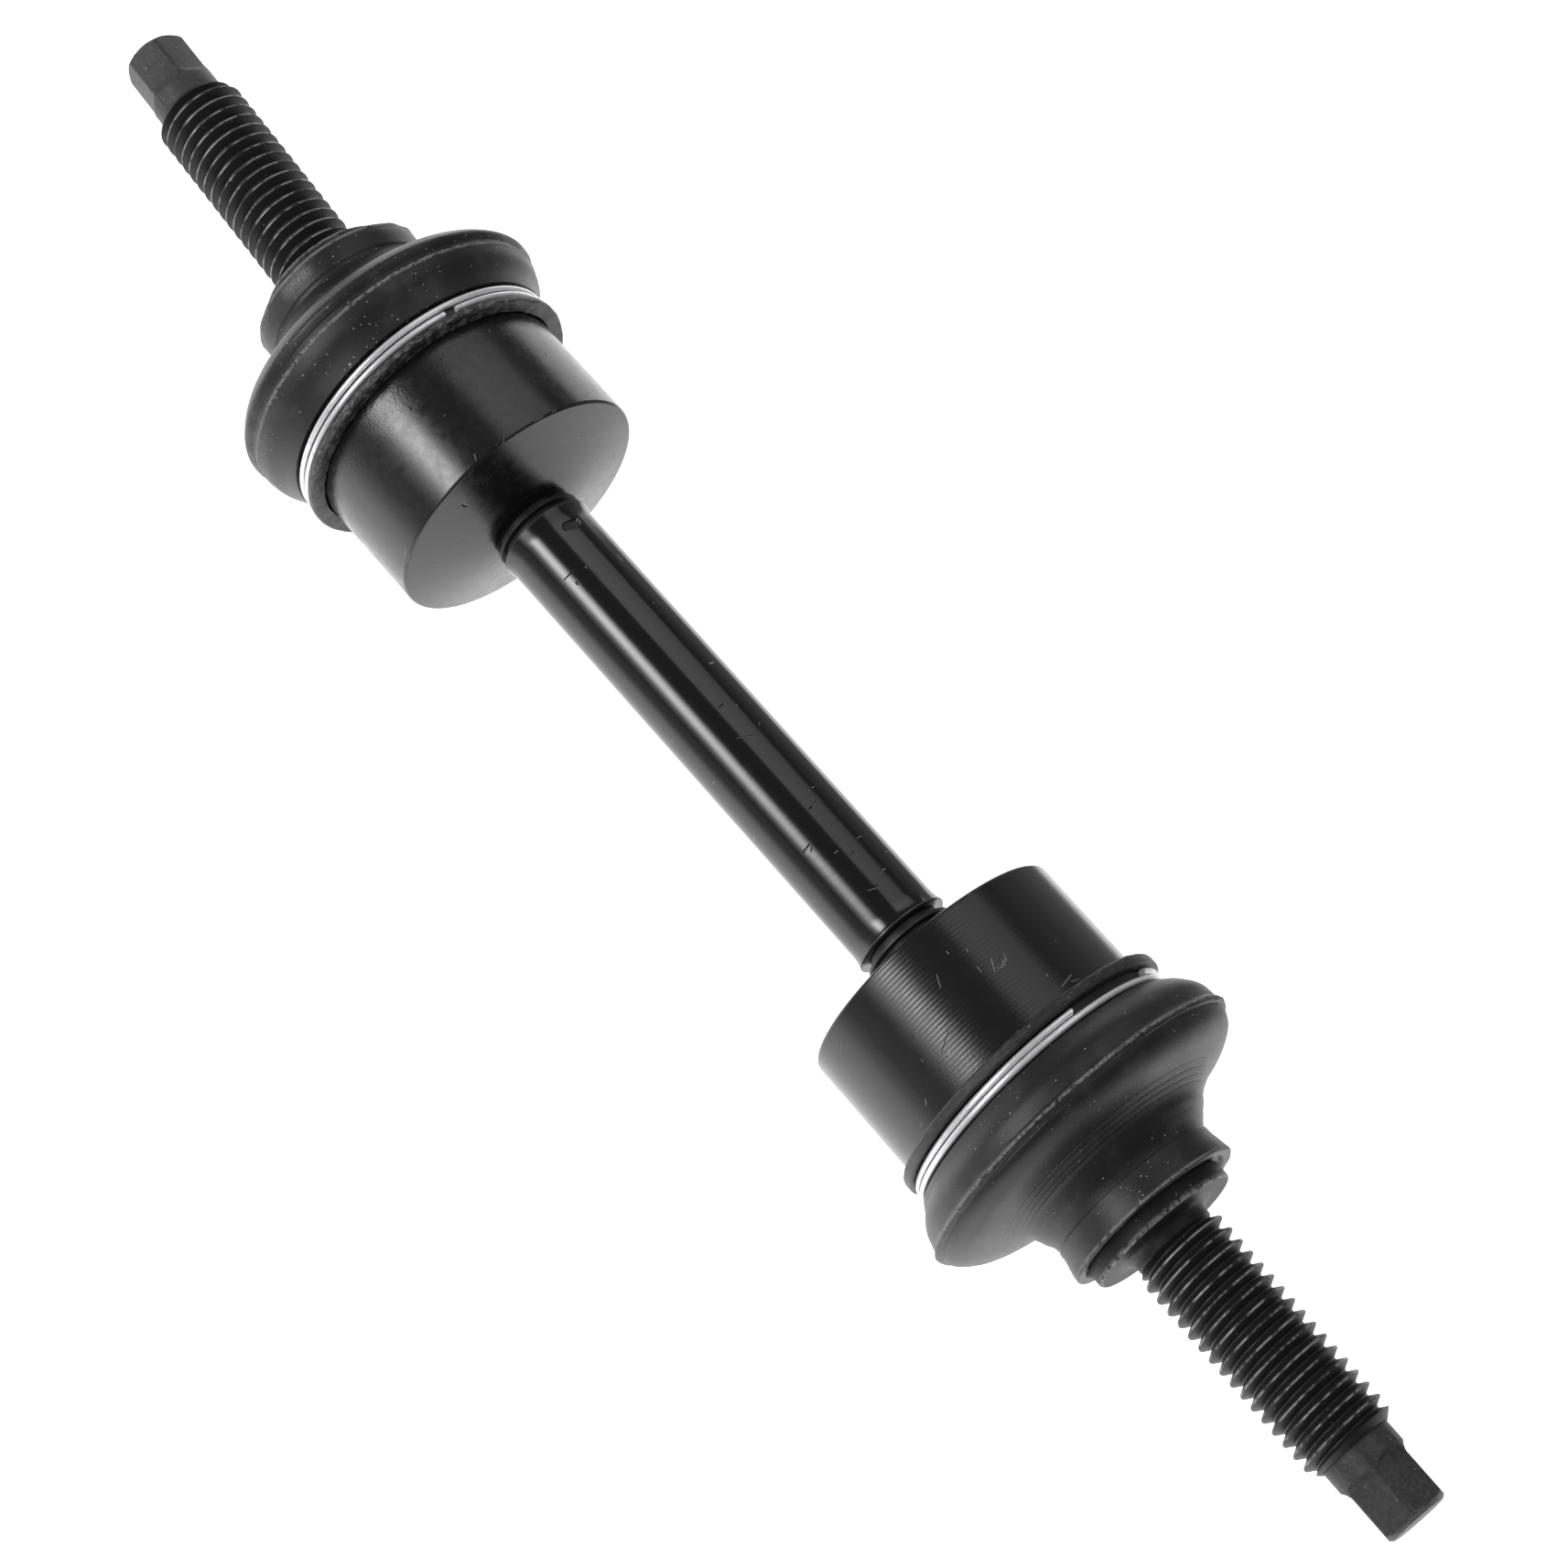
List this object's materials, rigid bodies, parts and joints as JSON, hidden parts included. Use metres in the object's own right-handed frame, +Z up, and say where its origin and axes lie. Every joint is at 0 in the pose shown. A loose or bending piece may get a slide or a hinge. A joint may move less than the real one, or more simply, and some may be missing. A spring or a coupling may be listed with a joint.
{
  "type": "anti-roll bar link",
  "caption": "Straight suspension link for an anti-roll bar, with a ball joint, boot and threaded stud in line at each end.",
  "frame": {"origin": "middle of the rod, on its axis, half way between the two ball centres", "axes": "+X along the link towards the lower end, +Z up, +Y the way the upper stud leans"},
  "size_m": [0.2446, 0.0442, 0.0442],
  "materials": {
    "rod_paint": "glossy black paint on steel",
    "housing_black": "satin black coating on turned steel",
    "stud_phosphate": "black phosphate on steel, worn at its edges",
    "boot_rubber": "matt black rubber, lightly dusty",
    "wire_steel": "bright drawn spring wire",
    "ring_steel": "plain steel",
    "seat_plastic": "natural acetal"
  },
  "bodies": {
    "link": {"rod": "rod_paint", "upper_housing": "housing_black", "upper_inner_seat": "seat_plastic", "upper_outer_seat": "seat_plastic", "upper_closing_ring": "ring_steel", "upper_wire_clip": "wire_steel", "lower_housing": "housing_black", "lower_inner_seat": "seat_plastic", "lower_outer_seat": "seat_plastic", "lower_closing_ring": "ring_steel", "lower_wire_clip": "wire_steel"},
    "upper_boot_body": {"upper_boot": "boot_rubber"},
    "upper_collar_body": {"upper_insert_ring": "ring_steel"},
    "upper_stud_body": {"upper_ball_stud": "stud_phosphate"},
    "lower_boot_body": {"lower_boot": "boot_rubber"},
    "lower_collar_body": {"lower_insert_ring": "ring_steel"},
    "lower_stud_body": {"lower_ball_stud": "stud_phosphate"}
  },
  "joints": [
    {"name": "upper_swing_flat", "type": "hinge", "parent": "link", "child": "upper_boot_body", "pos_m": [-0.05635, 0, 0], "axis": [0, 0, 1], "range_deg": [-14.7, 21.3], "deforming": ["upper_boot"]},
    {"name": "upper_swing_upright", "type": "hinge", "parent": "upper_boot_body", "child": "upper_collar_body", "pos_m": [-0.05635, 0, 0], "axis": [0.0576, 0.9983, 0], "range_deg": [-18, 18], "deforming": ["upper_boot"]},
    {"name": "upper_spin", "type": "hinge", "parent": "upper_collar_body", "child": "upper_stud_body", "pos_m": [-0.05635, 0, 0], "axis": [-0.9983, 0.0576, 0], "continuous": true},
    {"name": "lower_swing_flat", "type": "hinge", "parent": "link", "child": "lower_boot_body", "pos_m": [0.05635, 0, 0], "axis": [0, 0, 1], "range_deg": [-17.55, 18.45], "deforming": ["lower_boot"]},
    {"name": "lower_swing_upright", "type": "hinge", "parent": "lower_boot_body", "child": "lower_collar_body", "pos_m": [0.05635, 0, 0], "axis": [0.0079, 1, 0], "range_deg": [-18, 18], "deforming": ["lower_boot"]},
    {"name": "lower_spin", "type": "hinge", "parent": "lower_collar_body", "child": "lower_stud_body", "pos_m": [0.05635, 0, 0], "axis": [1, -0.0079, 0], "continuous": true}
  ]
}
